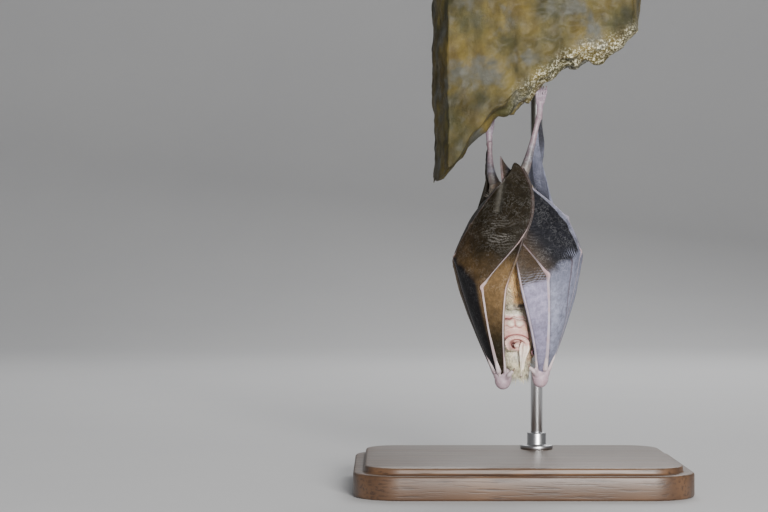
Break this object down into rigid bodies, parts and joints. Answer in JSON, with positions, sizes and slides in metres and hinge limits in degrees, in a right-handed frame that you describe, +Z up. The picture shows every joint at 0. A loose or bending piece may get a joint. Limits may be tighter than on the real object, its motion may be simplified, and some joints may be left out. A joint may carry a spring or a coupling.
{
  "type": "sleeping horseshoe bat specimen model",
  "caption": "Life-size still model of a lesser horseshoe bat hanging head down, wings wrapped round it, from a rock perch on a rod and flat base.",
  "frame": {"origin": "centre of the stand base's underside, on the floor", "axes": "+Z up; the bat's belly and face look towards -Y; the bat's right side is towards +X; it hangs head down"},
  "size_m": [0.066, 0.052, 0.1],
  "materials": {
    "wood": "dark oiled hardwood",
    "steel": "fine brushed",
    "rock": "wet yellow-ochre limestone, sawn on top and sides",
    "fur": "soft fine fur, cream to ochre",
    "face": "bare pink skin, slightly moist",
    "membrane": "thin, finely wrinkled grey-lavender wing skin",
    "bone": "pale pink skin drawn tight over the bones",
    "eye": "wet black"
  },
  "bodies": {
    "root": {"stand_base": "wood", "stand_rod": "steel", "perch_rock": "rock", "head": "fur", "neck": "fur", "trunk": "fur", "noseleaf": "face", "tail": "bone", "foot_left": "bone", "eye_left": "eye", "wrist_left": "bone", "digit_2_left": "bone", "digit_3_left": "bone", "digit_4_left": "bone", "digit_5_left": "bone", "forearm_left": "bone", "leg_left": "bone", "upper_arm_left": "fur", "ear_left": "membrane", "membrane_2_3_left": "membrane", "membrane_3_4_left": "membrane", "membrane_4_5_left": "membrane", "membrane_flank_left": "membrane", "membrane_tail_left": "membrane", "foot_right": "bone", "eye_right": "eye", "wrist_right": "bone", "digit_2_right": "bone", "digit_3_right": "bone", "digit_4_right": "bone", "digit_5_right": "bone", "forearm_right": "bone", "leg_right": "bone", "upper_arm_right": "fur", "ear_right": "membrane", "membrane_2_3_right": "membrane", "membrane_3_4_right": "membrane", "membrane_4_5_right": "membrane", "membrane_flank_right": "membrane", "membrane_tail_right": "membrane"}
  },
  "joints": []
}
